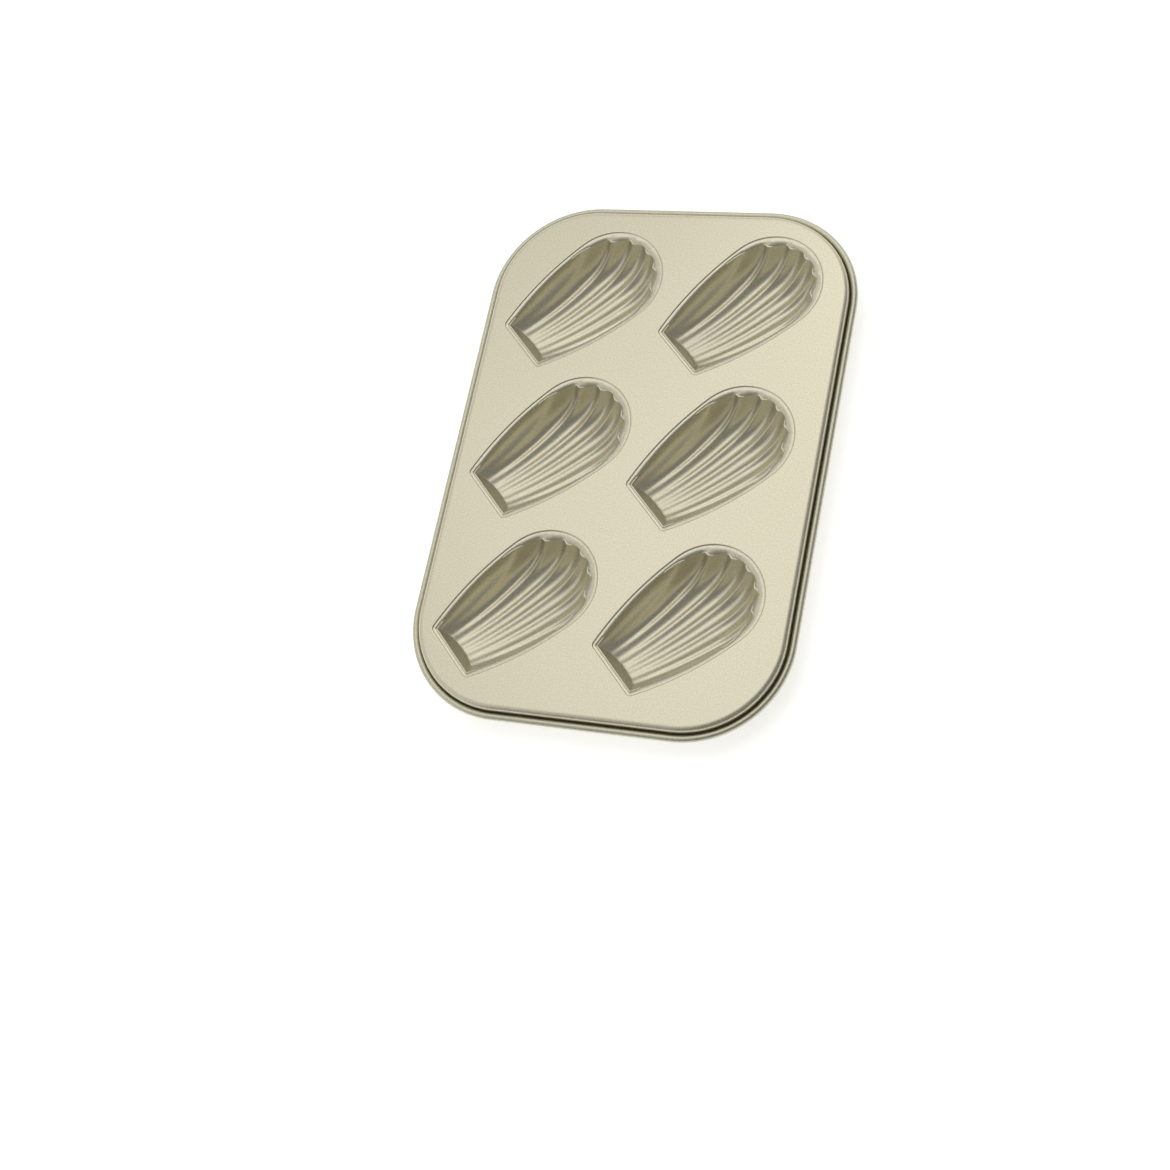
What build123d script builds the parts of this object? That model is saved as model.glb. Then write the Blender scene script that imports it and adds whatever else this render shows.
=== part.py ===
from build123d import *
import math
import os

# Madeleine pan: a pressed steel sheet with six fluted shell cups and a rolled rim over a wire.
# Millimetres. X is the short side, Y the long side, Z up. Z 0 is the table under the six cups,
# and the origin is under the middle of the pan.

# Plate
plate_width = 174.0
plate_length = 256.0
plate_corner_radius = 45.0
sheet = 0.6
edge_round = 2.5

# Cups: where they stand on the plate, and how far off its middle they were pressed
columns = 2
rows = 3
side_margin = 9.0
end_margin = 10.25
off_middle_x = -1.2
off_middle_y = 2.1
cup_turn_degrees = 45.0

# Cups: the fluted shell, from its straight hinge edge to its scalloped fan edge
shell_length = 74.5
shell_width = 46.4
shell_depth = 15.5
hinge_width = 27.2
hinge_depth = 8.0
hinge_run = 4.0
ridge_height = 1.3
side_lean = 0.7

# Shallow ledge pressed round each cup
ledge_depth = 0.5
ledge_beside_fan = 1.8
ledge_beyond_fan = 3.0
ledge_behind_hinge = 1.5
ledge_beside_hinge = 1.5
ledge_corner_radius = 2.0

# Rolled rim and the wire in it
bead_radius = 1.6
bead_out = 2.1
bead_down = 4.4
skirt_bend_radius = 0.9
wire_clearance = 0.15

overrun = 1.5

# Shares of the shell length and of half its width, from the middle ridge outwards
ridge_end_length_shares = [0.979, 0.948, 0.854, 0.716]
ridge_end_width_shares = [0.0, 0.375, 0.711, 0.96]
flute_end_length_shares = [1.0, 0.948, 0.838]
flute_end_width_shares = [0.194, 0.539, 0.86]

# Shares of half the hinge width where ridges start, and of the shell depth that they reach
hinge_start_shares = [0.0, 0.29, 0.58, 0.87]
ridge_depth_shares = [1.0, 0.985, 0.90, 0.62]
flute_depth_shares = [1.0, 0.96, 0.83]
hinge_ridge_share = 0.25

# Shares of a ridge's plan length: where the floor is lowest, and where the shell has a section
lowest_share = 0.58
section_shares = [0.0, 0.25, 0.5, 0.7, 0.82, 0.91, 0.965, 1.0]
widest_share = 0.628
side_end_share = 0.66
side_bulge_share = 0.22

# Shape numbers without a length
ridges_each_side = 3
facets_per_flute = 3
facets_per_side = 2
edge_facets = 2
skirt_bend_facets = 1
curl_facets = 6
wire_facets = 6
ridge_wall_power = 3
flute_wall_power = 4

plate_top = shell_depth + sheet
column_pitch = (plate_width - 2 * side_margin) / columns
row_pitch = (plate_length - 2 * end_margin) / rows
ledge_fan_radius = shell_width / 2 + ledge_beside_fan
wire_radius = bead_radius - sheet - wire_clearance


def floor_fall(travel_share, start_depth, low_depth, wall_power):
    """Depth along a ridge or flute: a gentle slope to the lowest point, then a rising curve."""
    if travel_share < lowest_share:
        return low_depth - (low_depth - start_depth) * (1 - travel_share / lowest_share) ** 2
    rise_share = (travel_share - lowest_share) / (1 - lowest_share)
    return low_depth * (1 - rise_share**wall_power)


def shell_line(number, section_share, grow):
    """Point of a ridge (whole number) or a flute bottom (half number), grown by a wall."""
    side = math.copysign(1, number)
    index = int(abs(number))
    on_ridge = abs(number) == index
    if on_ridge:
        end_length = ridge_end_length_shares[index] * shell_length
        end_width = ridge_end_width_shares[index] * shell_width / 2
        start_share = hinge_start_shares[index]
        low_depth = ridge_depth_shares[index] * shell_depth - ridge_height
        start_lift = ridge_height * hinge_ridge_share
        wall_power = ridge_wall_power
    else:
        end_length = flute_end_length_shares[index] * shell_length
        end_width = flute_end_width_shares[index] * shell_width / 2
        start_share = (hinge_start_shares[index] + hinge_start_shares[index + 1]) / 2
        low_depth = flute_depth_shares[index] * shell_depth
        start_lift = 0
        wall_power = flute_wall_power
    start_depth = hinge_depth * math.sqrt(1 - start_share**2) - start_lift + grow
    low_depth += grow
    full_rise_share = (1 + overrun / low_depth) ** (1 / wall_power)
    travel = section_share * (lowest_share + (1 - lowest_share) * full_rise_share)
    start_width = start_share * hinge_width / 2
    start_length = start_depth * hinge_run / hinge_depth - grow
    length = start_length + (end_length + grow - start_length) * travel
    width = start_width + (end_width + grow / 2 - start_width) * travel
    depth = floor_fall(travel, start_depth, low_depth, wall_power)
    return Vector(length, side * width, -depth)


def side_edge(side, section_share, grow):
    """Point of the top edge beside the outermost ridge, one overrun above the plate."""
    start = -overrun * hinge_run / hinge_depth
    length = start + (side_end_share * shell_length - start) * section_share
    swell_share = min(1, max(0, length / (widest_share * shell_length)))
    swell = (shell_width - hinge_width) / 2 * math.sin(swell_share * math.pi / 2)
    width = hinge_width / 2 + swell + side_lean + grow
    return Vector(length - grow * (1 - section_share), side * width, overrun)


def bowed_points(start, crown, end, facets):
    """Points of a shallow bow from start towards end that passes through the crown."""
    bow = crown - (start + end) * 0.5
    shares = [step / facets for step in range(facets)]
    return [start + (end - start) * share + bow * (4 * share * (1 - share)) for share in shares]


def shell_section(section_share, grow):
    """Points of the outline across the shell: a side wall, the flutes, the other side wall."""
    ridges = range(-ridges_each_side, ridges_each_side + 1)
    lines = [shell_line(number, section_share, grow) for number in ridges]
    edges = [side_edge(side, section_share, grow) for side in (-1, 1)]
    wall_crowns = []
    for edge, line in zip(edges, (lines[0], lines[-1])):
        bulge = Vector(0, side_bulge_share * (edge.Y - line.Y), 0)
        wall_crowns.append((edge + line) * 0.5 + bulge)
    points = bowed_points(edges[0], wall_crowns[0], lines[0], facets_per_side)
    for number, start, end in zip(ridges, lines, lines[1:]):
        crown = shell_line(number + 1 / 2, section_share, grow)
        points += bowed_points(start, crown, end, facets_per_flute)
    points += bowed_points(lines[-1], wall_crowns[1], edges[1], facets_per_side)
    return points + [edges[1]]


def flat_face(*points):
    return Face(Wire.make_polygon(points, close=True))


def shell_form(grow):
    """The solid space of one shell, grown by a wall, in flat faces between its sections."""
    sections = [shell_section(share, grow) for share in section_shares]
    faces = [flat_face(*sections[0]), flat_face(*sections[-1])]
    for near, far in zip(sections, sections[1:]):
        for index, corner in enumerate(near):
            faces.append(flat_face(corner, near[index - 1], far[index - 1]))
            faces.append(flat_face(corner, far[index - 1], far[index]))
    return Solid(Shell(faces))


def ledge_outline():
    """Outline of the ledge: straight behind the hinge, gently curved sides, a half round."""
    fan_centre = shell_length + ledge_beyond_fan - ledge_fan_radius
    half_hinge = hinge_width / 2 + ledge_beside_hinge
    behind = -ledge_behind_hinge
    fan = ThreePointArc(
        (fan_centre, -ledge_fan_radius),
        (fan_centre + ledge_fan_radius, 0),
        (fan_centre, ledge_fan_radius),
    )
    left = TangentArc((fan_centre, ledge_fan_radius), (behind, half_hinge), tangent=(-1, 0))
    hinge = Line((behind, half_hinge), (behind, -half_hinge))
    right = TangentArc((fan_centre, -ledge_fan_radius), (behind, -half_hinge), tangent=(-1, 0))
    outline = make_face([fan, left, hinge, right])
    return fillet(outline.vertices().sort_by(Axis.X)[:2], ledge_corner_radius)


def cup_places():
    """Where each shell's hinge middle stands on the plate's top face, row by row."""
    for row in range(rows):
        for column in range(columns):
            x = off_middle_x + (column - (columns - 1) / 2) * column_pitch
            y = off_middle_y + (row - (rows - 1) / 2) * row_pitch
            middle = Location((x, y, plate_top), (0, 0, cup_turn_degrees))
            yield middle * Location((-shell_length / 2, 0, 0))


def plate_outline(out):
    """The plate's outline moved out by a distance."""
    width = plate_width + 2 * out
    length = plate_length + 2 * out
    return RectangleRounded(width, length, plate_corner_radius + out)


def swept_round_rim(profile, out):
    """A profile carried round the rim: its X points out of the pan and its Y down."""
    half_width = plate_width / 2 + out
    half_length = plate_length / 2 + out
    corners = [(0, -half_length), (half_width, -half_length), (half_width, half_length)]
    half_way = FilletPolyline(*corners, (0, half_length), radius=plate_corner_radius + out)
    start = Plane(origin=half_way @ 0, x_dir=(0, -1, 0), z_dir=half_way % 0)
    half = sweep((start * profile).face(), path=half_way)
    return half + Rotation(0, 0, 180) * half


def bend_points(centre, radius, start_degrees, turn_degrees, facets):
    """Points along a bend, from its start angle through its turn."""
    for step in range(facets + 1):
        angle = math.radians(start_degrees + turn_degrees * step / facets)
        yield centre[0] + radius * math.cos(angle), centre[1] + radius * math.sin(angle)


def rim_profile():
    """The sheet's section: rounded edge, skirt, turn under the bead and the curl over the wire."""
    middle = sheet / 2
    bottom = bead_down + bead_radius - middle
    curl_radius = bead_radius - middle
    turn_start = (skirt_bend_radius - middle, bottom - skirt_bend_radius)
    bends = [
        ((-edge_round, edge_round), edge_round - middle, -90, 90, edge_facets),
        (turn_start, skirt_bend_radius, 180, -90, skirt_bend_facets),
        ((bead_out, bead_down), curl_radius, 90, -270, curl_facets),
    ]
    coated_side = []
    plain_side = []
    for centre, radius, start, turn, facets in bends:
        outwards = math.copysign(middle, turn)
        coated_side += bend_points(centre, radius + outwards, start, turn, facets)
        plain_side += bend_points(centre, radius - outwards, start, turn, facets)
    return make_face(Polyline(*coated_side, *reversed(plain_side), close=True))


def plate():
    """The pressed plate: flat face, six ledges with their holes, skirt and rolled rim."""
    flat = extrude(plate_outline(-edge_round), -sheet)
    rim = swept_round_rim(rim_profile(), 0)
    ledge = ledge_outline()
    tray = extrude(offset(ledge, sheet), -ledge_depth - sheet)
    recess = extrude(ledge, -ledge_depth)
    hole = shell_form(sheet)
    body = Location((0, 0, plate_top)) * (flat + rim)
    body += [place * tray for place in cup_places()]
    body -= [place * recess for place in cup_places()]
    body -= [place * hole for place in cup_places()]
    return body


def cup():
    """One fluted cup, from the ledge down."""
    wall = shell_form(sheet) - shell_form(0)
    return split(wall, Plane.XY.offset(-ledge_depth), keep=Keep.BOTTOM)


def rim_wire():
    """The steel hoop that the rim is rolled over."""
    hoop = swept_round_rim(RegularPolygon(wire_radius, wire_facets), bead_out)
    return Location((0, 0, plate_top - bead_down)) * hoop


def main():
    os.makedirs("parts", exist_ok=True)
    pieces = {"plate": plate(), "rim_wire": rim_wire()}
    one_cup = cup()
    for number, place in enumerate(cup_places(), start=1):
        pieces[f"shell_cup_{number}"] = place * one_cup
    for name, piece in pieces.items():
        export_step(piece, f"parts/{name}.step")


main()
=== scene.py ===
import math

import bmesh
import bpy
from mathutils import Matrix, Vector


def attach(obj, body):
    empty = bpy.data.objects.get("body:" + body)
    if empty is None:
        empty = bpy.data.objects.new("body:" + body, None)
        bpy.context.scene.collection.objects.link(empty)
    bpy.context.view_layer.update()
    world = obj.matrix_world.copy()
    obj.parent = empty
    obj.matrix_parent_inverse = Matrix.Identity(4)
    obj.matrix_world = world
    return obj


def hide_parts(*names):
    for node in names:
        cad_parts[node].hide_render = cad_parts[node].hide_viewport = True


# Madeleine pan: the pressed and coated sheet is drawn finely over the frame's plate and cups.
# Sizes are in millimetres, in the frame's axes, and meshes are scaled to metres at the end.
MM = 0.001

# Plate
PLATE_WIDTH = 174.0
PLATE_LENGTH = 256.0
PLATE_CORNER = 45.0
SHEET = 0.6
EDGE_ROUND = 2.5

# Cups on the plate, a little off its middle
COLUMNS = 2
ROWS = 3
COLUMN_PITCH = 78.0
ROW_PITCH = 78.5
OFF_MIDDLE_X = -1.2
OFF_MIDDLE_Y = 2.1
CUP_TURN = math.radians(45)

# The fluted shell
SHELL_LENGTH = 74.5
SHELL_WIDTH = 46.4
SHELL_DEPTH = 15.5
HINGE_WIDTH = 27.2
HINGE_DEPTH = 8.0
HINGE_RUN = 4.0
RIDGE_HEIGHT = 1.2
CREST_ROUND_AT_HINGE = 1.2
CREST_ROUND_AT_FAN = 2.4
SIDE_INSET = 0.25
LIP_ROUND = 0.25
HEEL_ROUND = 1.0

# The ledge round each cup
LEDGE_DEPTH = 0.5
LEDGE_STEP = 0.6
LEDGE_FAN_RADIUS = 25.0
LEDGE_BEYOND_FAN = 3.0
LEDGE_BEHIND_HINGE = 1.5
LEDGE_BESIDE_HINGE = 1.5
LEDGE_CORNER = 2.0

# The rolled rim
BEAD_RADIUS = 1.6
BEAD_OUT = 2.1
BEAD_DOWN = 4.4
SKIRT_BEND = 0.9

# Camera, and the table's side
CAMERA_PLACE = (278.4, -334.1, 781.2)
CAMERA_AIM = (-15.6, -59.6, 0.0)
CAMERA_ROLL = math.radians(-38.18)
CAMERA_LENS = 58.74
TABLE_SIDE = 6000.0

# Grain of the coating and the wire: its height, and the noise levels that give its two tones
GRAIN_HEIGHT = 0.005
GRAIN_LEVELS = (0.3, 0.7)

# Light of the room: pale one way and darker the other, and where it turns from one to the other
PALE_WAY = (-0.8, 0.55, 0.2)
PALE_ROOM = 0.75
DARK_ROOM = 0.22
TURN_START = -0.25
TURN_END = 0.35
PAPER_GLOW = 0.6

# Flat faces beside each bend are this wide, and keep the bend's smooth shading off the plate
FLAT_RING = 0.35

PLATE_TOP = SHELL_DEPTH + SHEET

# Shares of the shell length and half width where ridges and flutes end, as in the frame
RIDGE_END_LENGTH_SHARES = [0.979, 0.948, 0.854, 0.716]
RIDGE_END_WIDTH_SHARES = [0.0, 0.375, 0.711, 0.96]
FLUTE_END_LENGTH_SHARES = [1.0, 0.948, 0.838]
FLUTE_END_WIDTH_SHARES = [0.194, 0.539, 0.86]
HINGE_START_SHARES = [0.0, 0.29, 0.58, 0.87]
RIDGE_DEPTH_SHARES = [1.0, 0.985, 0.90, 0.62]
FLUTE_DEPTH_SHARES = [1.0, 0.96, 0.83]
HINGE_RIDGE_SHARE = 0.25
LOWEST_SHARE = 0.58
WIDEST_SHARE = 0.628
SIDE_END_SHARE = 0.66
SIDE_BULGE_SHARE = 0.22
RIDGE_WALL_POWER = 3
FLUTE_WALL_POWER = 4

RIDGES_EACH_SIDE = 3
FLUTE_STEPS = 12
SIDE_STEPS = 12
HEEL_STEPS = 9
TRAVEL_STEPS = 44
LEDGE_FAN_STEPS = 24
LEDGE_SIDE_STEPS = 24
LEDGE_CORNER_STEPS = 8
LEDGE_RISE_STEPS = 5
RIM_CORNER_STEPS = 32
RIM_SIDE_STEPS = 12
BEND_STEPS = 9
CURL_STEPS = 27


def lerp(a, b, share):
    return a + (b - a) * share


# The fluted shell, as one function of two shares: across the flutes and along them

def floor_fall(travel, start_depth, low_depth, wall_power):
    """Depth along a ridge or flute: a gentle slope, then a curve that rises to the fan edge."""
    if travel < LOWEST_SHARE:
        return low_depth - (low_depth - start_depth) * (1 - travel / LOWEST_SHARE) ** 2
    rise = (travel - LOWEST_SHARE) / (1 - LOWEST_SHARE)
    return low_depth * (1 - rise**wall_power)


def shell_line(number, along):
    """Point of a ridge (whole number) or flute bottom (half number), up to the ledge's level."""
    index = int(abs(number))
    on_ridge = abs(number) == index
    if on_ridge:
        end = RIDGE_END_LENGTH_SHARES[index], RIDGE_END_WIDTH_SHARES[index]
        start_share = HINGE_START_SHARES[index]
        low_depth = RIDGE_DEPTH_SHARES[index] * SHELL_DEPTH - RIDGE_HEIGHT
        start_lift = RIDGE_HEIGHT * HINGE_RIDGE_SHARE
        wall_power = RIDGE_WALL_POWER
    else:
        end = FLUTE_END_LENGTH_SHARES[index], FLUTE_END_WIDTH_SHARES[index]
        start_share = (HINGE_START_SHARES[index] + HINGE_START_SHARES[index + 1]) / 2
        low_depth = FLUTE_DEPTH_SHARES[index] * SHELL_DEPTH
        start_lift = 0
        wall_power = FLUTE_WALL_POWER
    start_depth = HINGE_DEPTH * math.sqrt(1 - start_share**2) - start_lift
    rise_end = (1 - LEDGE_DEPTH / low_depth) ** (1 / wall_power)
    travel = along * lerp(LOWEST_SHARE, 1, rise_end)
    start_length = start_depth * HINGE_RUN / HINGE_DEPTH
    length = lerp(start_length, end[0] * SHELL_LENGTH, travel)
    width = lerp(start_share * HINGE_WIDTH, end[1] * SHELL_WIDTH, travel) / 2
    depth = floor_fall(travel, start_depth, low_depth, wall_power)
    return Vector((length, math.copysign(width, number), -depth))


def side_edge(side, along):
    """Point of the mouth's edge beside the outermost ridge."""
    start = LEDGE_DEPTH * HINGE_RUN / HINGE_DEPTH
    length = lerp(start, SIDE_END_SHARE * SHELL_LENGTH, along)
    swell_share = min(1, length / (WIDEST_SHARE * SHELL_LENGTH))
    swell = (SHELL_WIDTH - HINGE_WIDTH) / 2 * math.sin(swell_share * math.pi / 2)
    return Vector((length, side * (HINGE_WIDTH / 2 + swell - SIDE_INSET), -LEDGE_DEPTH))


def bow(share):
    """Height of an arc, 0 at its two ends and 1 in the middle."""
    return 4 * share * (1 - share)


def shell_point(across, along):
    """Point of the shell's coated face: across runs from -4 to 4 over ridges -3 to 3."""
    side = math.copysign(1, across)
    if abs(across) > RIDGES_EACH_SIDE:
        share = abs(across) - RIDGES_EACH_SIDE
        start = shell_line(side * RIDGES_EACH_SIDE, along)
        end = side_edge(side, along)
        bulge = Vector((0, SIDE_BULGE_SHARE * (end.y - start.y), 0))
        return lerp(start, end, share) + bulge * bow(share)
    first = min(math.floor(across), RIDGES_EACH_SIDE - 1)
    start = shell_line(first, along)
    end = shell_line(first + 1, along)
    crown = shell_line(first + 1 / 2, along) - (start + end) / 2
    return lerp(start, end, across - first) + crown * bow(across - first)


def eased_shares(steps):
    """Shares from 0 to 1 that lie closer together at both ends."""
    return [(1 - math.cos(math.pi * step / steps)) / 2 for step in range(steps + 1)]


def across_shares():
    """Places across the shell: a side wall, six flutes and the other side wall."""
    side = [RIDGES_EACH_SIDE + share for share in eased_shares(SIDE_STEPS)]
    places = [-place for place in reversed(side)]
    for ridge in range(-RIDGES_EACH_SIDE, RIDGES_EACH_SIDE):
        places += [ridge + share for share in eased_shares(FLUTE_STEPS)[1:]]
    return places + side[1:]


def point_along(chain, start, step, distance):
    """Point at a distance along a chain of points, from a start index towards one end."""
    index = start
    while 0 <= index + step < len(chain):
        gap = (chain[index + step] - chain[index]).length
        if gap >= distance:
            return lerp(chain[index], chain[index + step], distance / max(gap, 1e-9))
        distance -= gap
        index += step
    return chain[index]


def rounded(chain, corner, radius):
    """The chain with its corner drawn as a smooth bend that starts and ends a radius away."""
    before = point_along(chain, corner, -1, radius)
    after = point_along(chain, corner, 1, radius)
    bent = list(chain)
    for step in (-1, 1):
        index = corner
        gone = 0
        while 0 <= index < len(chain) and gone < radius:
            share = 0.5 + step * 0.5 * gone / radius
            first = lerp(before, chain[corner], share)
            bent[index] = lerp(first, lerp(chain[corner], after, share), share)
            if not 0 <= index + step < len(chain):
                break
            gone += (chain[index + step] - chain[index]).length
            index += step
    return bent


def shell_columns():
    """Points down the hinge wall and on along the flutes, one column per place across."""
    places = across_shares()
    columns = []
    for across in places:
        heel = shell_point(across, 0)
        top = Vector((LEDGE_DEPTH * HINGE_RUN / HINGE_DEPTH, heel.y, -LEDGE_DEPTH))
        wall = [lerp(top, heel, share) for share in eased_shares(HEEL_STEPS)]
        floor = [shell_point(across, share) for share in eased_shares(TRAVEL_STEPS)[1:]]
        height = (heel - top).length
        column = wall + floor
        if height > HEEL_ROUND:
            column = rounded(column, HEEL_STEPS, min(HEEL_ROUND, height / 2))
        columns.append(column)
    rows = []
    for number, row in enumerate(zip(*columns)):
        along = max(0, number - HEEL_STEPS) / TRAVEL_STEPS
        crest_round = lerp(CREST_ROUND_AT_HINGE, CREST_ROUND_AT_FAN, along)
        for ridge in range(-RIDGES_EACH_SIDE, RIDGES_EACH_SIDE + 1):
            row = rounded(row, places.index(ridge), crest_round)
        rows.append(row)
    return list(zip(*rows))


def outward_directions(loop, reach):
    """Level directions that point out of a clockwise loop, each averaged over a reach."""
    count = len(loop)
    places = [0.0]
    for index in range(count):
        places.append(places[-1] + (loop[(index + 1) % count] - loop[index]).length)
    directions = []
    for here in places[:-1]:
        total = Vector((0, 0, 0))
        for index in range(count):
            apart = abs((places[index] + places[index + 1]) / 2 - here)
            apart = min(apart, places[-1] - apart)
            edge = loop[(index + 1) % count] - loop[index]
            total += Vector((-edge.y, edge.x, 0)) * max(0, 1 - apart / reach)
        directions.append(total.normalized())
    return directions


class Sheet:
    """Points and faces of a piece of the sheet, gathered before they become a mesh."""

    def __init__(self):
        self.points = []
        self.faces = []
        self.flats = []

    def add_loop(self, points):
        """Adds the points of a loop and gives their numbers."""
        first = len(self.points)
        self.points += points
        return list(range(first, len(self.points)))

    def bridge(self, inner, outer):
        """Faces that look up, between two clockwise loops with as many points."""
        for index, near in enumerate(inner):
            after = (index + 1) % len(inner)
            self.faces.append((near, inner[after], outer[after], outer[index]))

    def to_object(self, name, place=Matrix()):
        """The sheet as a smooth mesh piece, with its steel's thickness under the coated face."""
        form = bmesh.new()
        scale = Matrix.Scale(MM, 4)
        points = [form.verts.new(scale @ (place @ point)) for point in self.points]
        for face in self.faces:
            form.faces.new([points[index] for index in face])
        for loops in self.flats:
            edges = []
            for loop in loops:
                for index, start in enumerate(loop):
                    pair = points[start], points[loop[(index + 1) % len(loop)]]
                    edges.append(form.edges.get(pair) or form.edges.new(pair))
            bmesh.ops.triangle_fill(form, edges=edges, use_beauty=True, normal=(0, 0, 1))
        mesh = bpy.data.meshes.new(name)
        form.to_mesh(mesh)
        form.free()
        mesh.shade_smooth()
        piece = bpy.data.objects.new(name, mesh)
        bpy.context.collection.objects.link(piece)
        steel = piece.modifiers.new("steel", "SOLIDIFY")
        steel.thickness = SHEET * MM
        steel.offset = -1
        # The underside and the bare edges take the piece's second material
        steel.material_offset = 1
        steel.material_offset_rim = 1
        return piece


def mouth_places(last_column, last_row):
    """Columns and rows of the points round a cup's mouth, clockwise from the hinge edge."""
    hinge = [(column, 0) for column in range(1, last_column)]
    side = [(last_column, row) for row in range(HEEL_STEPS, last_row)]
    fan = [(column, last_row) for column in range(last_column, -1, -1)]
    other_side = [(0, row) for row in range(last_row - 1, HEEL_STEPS - 1, -1)]
    return hinge + side + fan + other_side


def places_inward(column, row, last_column, last_row):
    """Columns and rows from a place on a cup's mouth down into the cup."""
    to_middle = 1 if column < last_column / 2 else -1
    if row == 0:
        return [(column, below) for below in range(last_row + 1)]
    if row < last_row:
        return [(column + to_middle * step, row) for step in range(last_column)]
    if column in (0, last_column):
        return [(column + to_middle * step, row - step) for step in range(SIDE_STEPS)]
    return [(column, below) for below in range(last_row, -1, -1)]


def rounded_mouth(sharp, mouth):
    """A cup's columns with its mouth's edge rounded, and the rings on from there to the flat."""
    last_column = len(sharp) - 1
    last_row = len(sharp[0]) - 1
    directions = outward_directions([sharp[c][r] for c, r in mouth], 2 * LIP_ROUND)
    outs = [LIP_ROUND * share for share in (1 / 3, 2 / 3, 1)] + [LIP_ROUND + FLAT_RING]
    rings = [[] for out in outs]
    columns = [list(column) for column in sharp]
    for (column, row), direction in zip(mouth, directions):
        inward = places_inward(column, row, last_column, last_row)
        inward.reverse()
        chain = [sharp[c][r] for c, r in inward]
        chain += [chain[-1] + direction * out for out in outs]
        bent = rounded(chain, len(inward) - 1, LIP_ROUND)
        for (c, r), point in zip(inward, bent):
            if (point - sharp[c][r]).length > (columns[c][r] - sharp[c][r]).length:
                columns[c][r] = point
        for ring, point in zip(rings, bent[len(inward):]):
            ring.append(point)
    return columns, rings


def cup_sheet():
    """One fluted cup in its own axes, out to a flat ring just beyond its rounded mouth."""
    sheet = Sheet()
    sharp = shell_columns()
    last_column = len(sharp) - 1
    last_row = len(sharp[0]) - 1
    mouth = mouth_places(last_column, last_row)
    columns, rings = rounded_mouth(sharp, mouth)
    index_of = {}
    for column in range(last_column + 1):
        for row in range(last_row, -1, -1):
            # A side wall has no height at the hinge, so its hinge wall is drawn as one point
            if column in (0, last_column) and row < HEEL_STEPS:
                index_of[column, row] = index_of[column, HEEL_STEPS]
            else:
                index_of[column, row] = len(sheet.points)
                sheet.points.append(columns[column][row])
    for column in range(last_column):
        for row in range(last_row):
            corners = [(column, row), (column, row + 1), (column + 1, row + 1), (column + 1, row)]
            face = tuple(dict.fromkeys(index_of[corner] for corner in corners))
            if len(face) > 2:
                sheet.faces.append(face)
    inner = [index_of[place] for place in mouth]
    for ring in rings:
        outer = sheet.add_loop(ring)
        sheet.bridge(inner, outer)
        inner = outer
    return sheet, rings[-1]


def arc(centre, radius, start, turn, steps):
    """Points along an arc in X and Y, with angles in degrees."""
    for step in range(steps + 1):
        angle = math.radians(start + turn * step / steps)
        x = centre[0] + radius * math.cos(angle)
        y = centre[1] + radius * math.sin(angle)
        yield Vector((x, y, 0))


def ledge_loop(out):
    """The ledge's outline in the cup's axes, clockwise, moved out by a distance."""
    fan_centre = SHELL_LENGTH + LEDGE_BEYOND_FAN - LEDGE_FAN_RADIUS
    run = fan_centre + LEDGE_BEHIND_HINGE
    drop = LEDGE_FAN_RADIUS - HINGE_WIDTH / 2 - LEDGE_BESIDE_HINGE
    side_radius = (run**2 + drop**2) / (2 * drop)
    side_centre = LEDGE_FAN_RADIUS - side_radius
    corner_x = LEDGE_CORNER - LEDGE_BEHIND_HINGE
    reach = math.sqrt((side_radius - LEDGE_CORNER) ** 2 - (fan_centre - corner_x) ** 2)
    lean = math.degrees(math.atan2(reach, corner_x - fan_centre))
    corner = (corner_x, side_centre + reach)
    half = list(arc(corner, LEDGE_CORNER + out, 180, lean - 180, LEDGE_CORNER_STEPS))
    side = arc((fan_centre, side_centre), side_radius + out, lean, 90 - lean, LEDGE_SIDE_STEPS)
    fan = arc((fan_centre, 0), LEDGE_FAN_RADIUS + out, 90, -90, LEDGE_FAN_STEPS)
    half += list(side)[1:] + list(fan)[1:]
    return half + [Vector((point.x, -point.y, 0)) for point in reversed(half[:-1])]


def rim_loop(out, down):
    """A clockwise loop round the pan, out from the plate's outline and down from its top."""
    half_width = PLATE_WIDTH / 2 - PLATE_CORNER
    half_length = PLATE_LENGTH / 2 - PLATE_CORNER
    corners = [(half_width, half_length), (half_width, -half_length)]
    corners += [(-x, -y) for x, y in corners]
    bends = []
    for number, corner in enumerate(corners):
        start = 90 - 90 * number
        bends.append(list(arc(corner, PLATE_CORNER + out, start, -90, RIM_CORNER_STEPS)))
    points = []
    for number, bend in enumerate(bends):
        after = bends[(number + 1) % len(bends)][0]
        shares = [step / RIM_SIDE_STEPS for step in range(1, RIM_SIDE_STEPS)]
        points += bend + [lerp(bend[-1], after, share) for share in shares]
    return [Vector((point.x, point.y, PLATE_TOP - down)) for point in points]


def rim_profile():
    """The coated face over the edge, down the skirt and round the curl: X out and Y down."""
    middle = SHEET / 2
    bottom = BEAD_DOWN + BEAD_RADIUS - middle
    skirt_bend = SKIRT_BEND - middle
    profile = [Vector((-EDGE_ROUND - FLAT_RING, 0, 0))]
    profile += arc((-EDGE_ROUND, EDGE_ROUND), EDGE_ROUND, -90, 90, BEND_STEPS)
    profile += arc((skirt_bend, bottom - SKIRT_BEND), skirt_bend, 180, -90, BEND_STEPS)
    profile += arc((BEAD_OUT, BEAD_DOWN), BEAD_RADIUS - SHEET, 90, -270, CURL_STEPS)
    return profile


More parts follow.
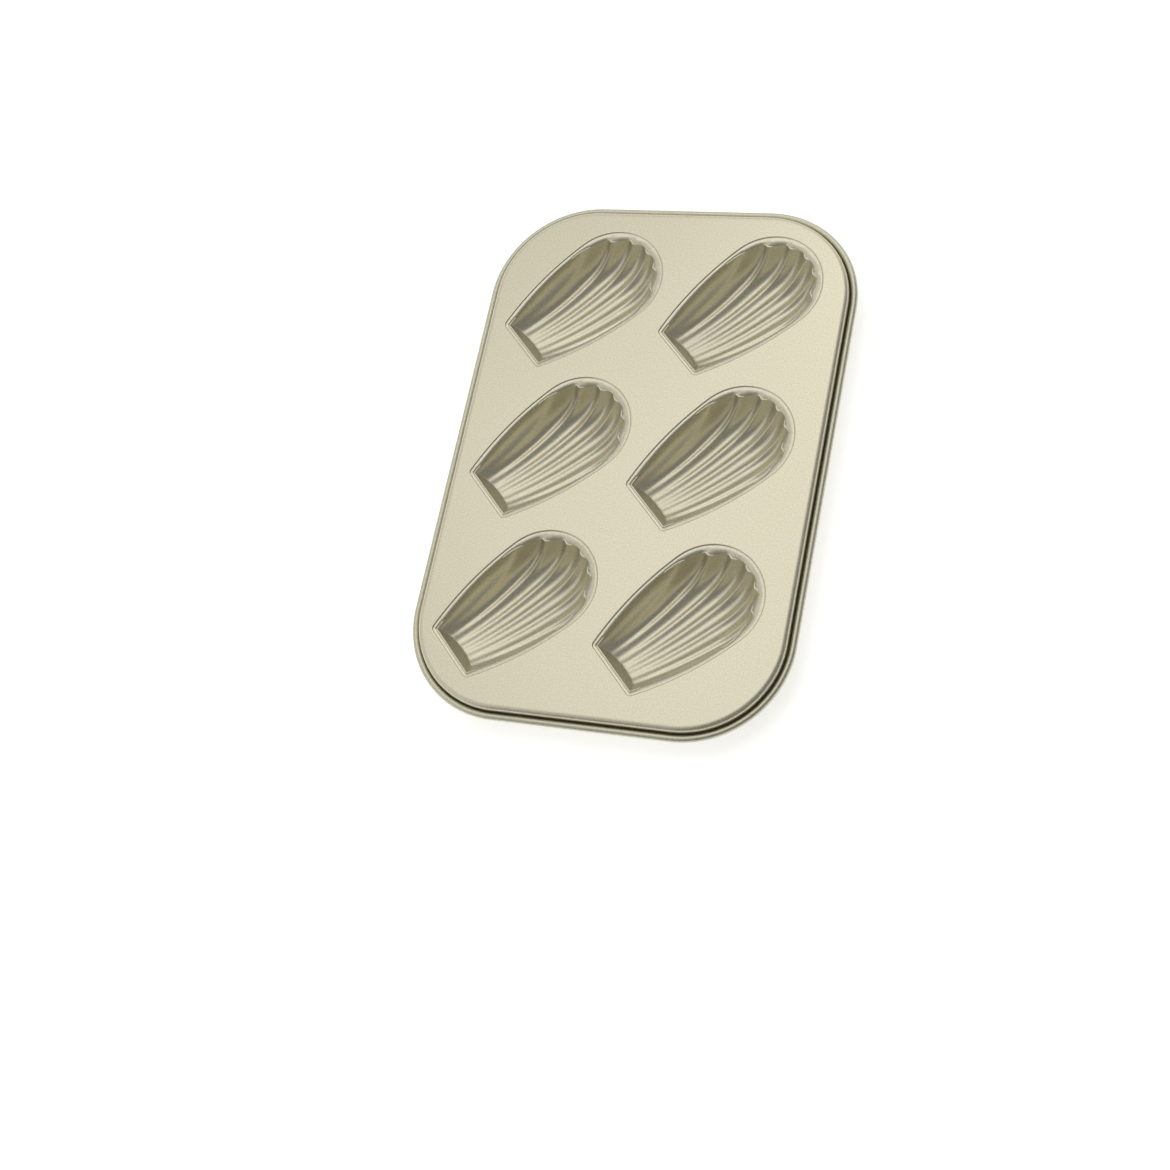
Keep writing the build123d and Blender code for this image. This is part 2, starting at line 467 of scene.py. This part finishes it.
def ledge_profile():
    """Places out and levels along the ledge's step, a smooth rise from its floor to the plate."""
    profile = [(-FLAT_RING, -LEDGE_DEPTH)]
    for step in range(LEDGE_RISE_STEPS + 1):
        share = step / LEDGE_RISE_STEPS
        rise = share**2 * (3 - 2 * share)
        profile.append((LEDGE_STEP * share, -LEDGE_DEPTH * (1 - rise)))
    return profile + [(LEDGE_STEP + FLAT_RING, 0)]


def plate_sheet(mouth_ring):
    """The plate with its ledges, and the rim that goes on from its edge."""
    sheet = Sheet()
    rim = [sheet.add_loop(rim_loop(point.x, point.y)) for point in rim_profile()]
    for inner, outer in zip(rim, rim[1:]):
        sheet.bridge(inner, outer)
    openings = [rim[0]]
    for place in cup_places():
        steps = []
        for out, level in ledge_profile():
            lift = Vector((0, 0, level))
            steps.append(sheet.add_loop([place @ (point + lift) for point in ledge_loop(out)]))
        for inner, outer in zip(steps, steps[1:]):
            sheet.bridge(inner, outer)
        sheet.flats.append([steps[0], sheet.add_loop([place @ point for point in mouth_ring])])
        openings.append(steps[-1])
    sheet.flats.append(openings)
    return sheet


def cup_places():
    """Each cup's own axes on the plate's top face, row by row."""
    for row in range(ROWS):
        for column in range(COLUMNS):
            x = OFF_MIDDLE_X + (column - (COLUMNS - 1) / 2) * COLUMN_PITCH
            y = OFF_MIDDLE_Y + (row - (ROWS - 1) / 2) * ROW_PITCH
            middle = Matrix.Translation((x, y, PLATE_TOP)) @ Matrix.Rotation(CUP_TURN, 4, "Z")
            yield middle @ Matrix.Translation((-SHELL_LENGTH / 2, 0, 0))


# Finishes

def colour(code):
    """A linear colour from its sRGB hex code."""
    linear = []
    for place in (1, 3, 5):
        part = int(code[place:place + 2], 16) / 255
        linear.append(part / 12.92 if part <= 0.04045 else ((part + 0.055) / 1.055) ** 2.4)
    return linear + [1]


def add_node(owner, kind, settings, links=()):
    """Adds a node to a material or world, sets its properties and sockets, and links into it."""
    node = owner.node_tree.nodes.new(kind)
    for name, value in settings.items():
        if isinstance(name, int) or name in node.inputs:
            node.inputs[name].default_value = value
        else:
            setattr(node, name, value)
    for name, socket in dict(links).items():
        owner.node_tree.links.new(socket, node.inputs[name])
    return node


def speckled_metal(name, tones, grain, metallic, roughness):
    """A metal that wavers between two tones and two roughnesses, at a grain in millimetres."""
    material = bpy.data.materials.new(name)
    material.use_nodes = True
    material.node_tree.nodes.clear()
    place = add_node(material, "ShaderNodeTexCoord", {}).outputs["Object"]
    noise = {"Scale": 1 / (grain * MM), "Detail": 2.0}
    speck = add_node(material, "ShaderNodeTexNoise", noise, {"Vector": place}).outputs["Fac"]
    ramp = add_node(material, "ShaderNodeValToRGB", {}, {"Fac": speck})
    for end, level, tone in zip(ramp.color_ramp.elements, GRAIN_LEVELS, tones):
        end.position = level
        end.color = colour(tone)
    bump = add_node(material, "ShaderNodeBump", {"Distance": GRAIN_HEIGHT * MM}, {"Height": speck})
    ends = {"To Min": roughness[0], "To Max": roughness[1]}
    rough = add_node(material, "ShaderNodeMapRange", ends, {"Value": speck})
    shader = add_node(
        material,
        "ShaderNodeBsdfPrincipled",
        {"Metallic": metallic},
        {
            "Base Color": ramp.outputs["Color"],
            "Normal": bump.outputs["Normal"],
            "Roughness": rough.outputs["Result"],
        },
    )
    add_node(material, "ShaderNodeOutputMaterial", {}, {"Surface": shader.outputs["BSDF"]})
    return material


def champagne_nonstick():
    """Non-stick coating with metal flake, sprayed on steel and fired: a satin, grainy gold."""
    # The flakes are finer than a tenth of a millimetre, and are drawn coarse enough to show
    tones = ("#CFC8AE", "#E2DDC6")
    return speckled_metal(
        "champagne_nonstick", tones, grain=0.7, metallic=0.85, roughness=(0.27, 0.37)
    )


def shaded_champagne_outside():
    """The same coating on the underside and the rolled bead, drawn in darker, greyer tones that are
    painted shade, and duller.
    """
    # Flakes lie further apart in a thin coat, and are drawn coarse enough to show here too
    # These tones are darker than the plate's: painted shade of the rolled bead
    tones = ("#C6C2AA", "#D6D3BD")
    return speckled_metal(
        "shaded_champagne_outside", tones, grain=1.2, metallic=0.85, roughness=(0.3, 0.42)
    )


def drawn_steel_wire():
    """Galvanised steel wire, drawn through a die: grey, with a soft shine."""
    # The zinc's crystals are a fraction of a millimetre wide on thin wire
    tones = ("#8F9294", "#B4B6B6")
    return speckled_metal("drawn_steel_wire", tones, grain=0.4, metallic=1, roughness=(0.3, 0.45))


def table_paper():
    """White paper under the pan, which shows its shadow and looks white to the camera elsewhere."""
    material = bpy.data.materials.new("table_paper")
    material.use_nodes = True
    material.node_tree.nodes.clear()
    rays = add_node(material, "ShaderNodeLightPath", {}).outputs
    matt = add_node(material, "ShaderNodeBsdfDiffuse", {"Color": colour("#F4F4F2")})
    light = {"Color": colour("#FFFFFF"), "Strength": PAPER_GLOW}
    glow = add_node(material, "ShaderNodeEmission", light).outputs["Emission"]
    both = add_node(material, "ShaderNodeAddShader", {}, {0: matt.outputs["BSDF"], 1: glow})
    seen = add_node(
        material,
        "ShaderNodeMath",
        {"operation": "MAXIMUM"},
        {0: rays["Is Camera Ray"], 1: rays["Is Glossy Ray"]},
    )
    mixed = add_node(
        material,
        "ShaderNodeMixShader",
        {},
        {0: seen.outputs["Value"], 1: matt.outputs["BSDF"], 2: both.outputs["Shader"]},
    )
    add_node(material, "ShaderNodeOutputMaterial", {}, {"Surface": mixed.outputs["Shader"]})
    return material


# The pan

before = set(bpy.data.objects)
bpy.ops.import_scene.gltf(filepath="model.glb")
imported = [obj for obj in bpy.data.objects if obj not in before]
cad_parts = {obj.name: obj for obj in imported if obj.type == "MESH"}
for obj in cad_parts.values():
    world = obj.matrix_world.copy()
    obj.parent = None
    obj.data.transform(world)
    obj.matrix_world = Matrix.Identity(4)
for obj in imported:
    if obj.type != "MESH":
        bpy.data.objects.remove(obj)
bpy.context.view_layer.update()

coating = champagne_nonstick()
shaded_outside = shaded_champagne_outside()

cup, mouth = cup_sheet()
pieces = {"plate": plate_sheet(mouth).to_object("plate_sheet")}
for number, place in enumerate(cup_places(), start=1):
    pieces[f"shell_cup_{number}"] = cup.to_object(f"fluted_cup_{number}", place)
for node, piece in pieces.items():
    piece.data.materials.append(coating)
    # The second material, on the underside, bead and edges, is the coating with painted shade
    piece.data.materials.append(shaded_outside)
    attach(piece, "root")
    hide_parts(node)

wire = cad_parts["rim_wire"]
wire.material_slots[0].material = drawn_steel_wire()


# The table, the studio and the camera

bpy.ops.mesh.primitive_plane_add(size=TABLE_SIDE * MM)
table = bpy.context.object
table.name = "table_top"
table.data.materials.append(table_paper())

world = bpy.data.worlds.new("studio")
bpy.context.scene.world = world
world.use_nodes = True
world.node_tree.nodes.clear()
towards = add_node(world, "ShaderNodeTexCoord", {}).outputs["Generated"]
product = {"operation": "DOT_PRODUCT", 1: PALE_WAY}
facing = add_node(world, "ShaderNodeVectorMath", product, {0: towards}).outputs["Value"]
walls = add_node(
    world,
    "ShaderNodeMapRange",
    {
        "interpolation_type": "SMOOTHSTEP",
        "From Min": TURN_START,
        "From Max": TURN_END,
        "To Min": DARK_ROOM,
        "To Max": PALE_ROOM,
    },
    {"Value": facing},
).outputs["Result"]
seen = add_node(world, "ShaderNodeLightPath", {}).outputs["Is Camera Ray"]
level = add_node(world, "ShaderNodeMix", {"B": 1.0}, {"Factor": seen, "A": walls})
room = add_node(
    world,
    "ShaderNodeBackground",
    {"Color": colour("#FFFFFF")},
    {"Strength": level.outputs["Result"]},
)
add_node(world, "ShaderNodeOutputWorld", {}, {"Surface": room.outputs["Background"]})


def softbox(name, place, size, power):
    """A square lamp at a place in metres that faces the pan's middle on the table."""
    lamp = bpy.data.lights.new(name, "AREA")
    lamp.size = size
    lamp.energy = power
    box = bpy.data.objects.new(name, lamp)
    bpy.context.collection.objects.link(box)
    box.location = place
    box.rotation_euler = (-Vector(place)).to_track_quat("-Z", "Y").to_euler()


softbox("overhead_softbox", place=(-0.2, 0.35, 1.15), size=0.8, power=1.0)
softbox("back_softbox", place=(0.1, 0.75, 0.75), size=0.6, power=0.5)

lens = bpy.data.cameras.new("camera")
lens.lens = CAMERA_LENS
camera = bpy.data.objects.new("camera", lens)
bpy.context.collection.objects.link(camera)
bpy.context.scene.camera = camera
looking = (Vector(CAMERA_AIM) - Vector(CAMERA_PLACE)).to_track_quat("-Z", "Y").to_matrix().to_4x4()
turned = looking @ Matrix.Rotation(CAMERA_ROLL, 4, "Z")
camera.matrix_world = Matrix.Translation(Vector(CAMERA_PLACE) * MM) @ turned

bpy.context.scene.view_settings.view_transform = "Standard"
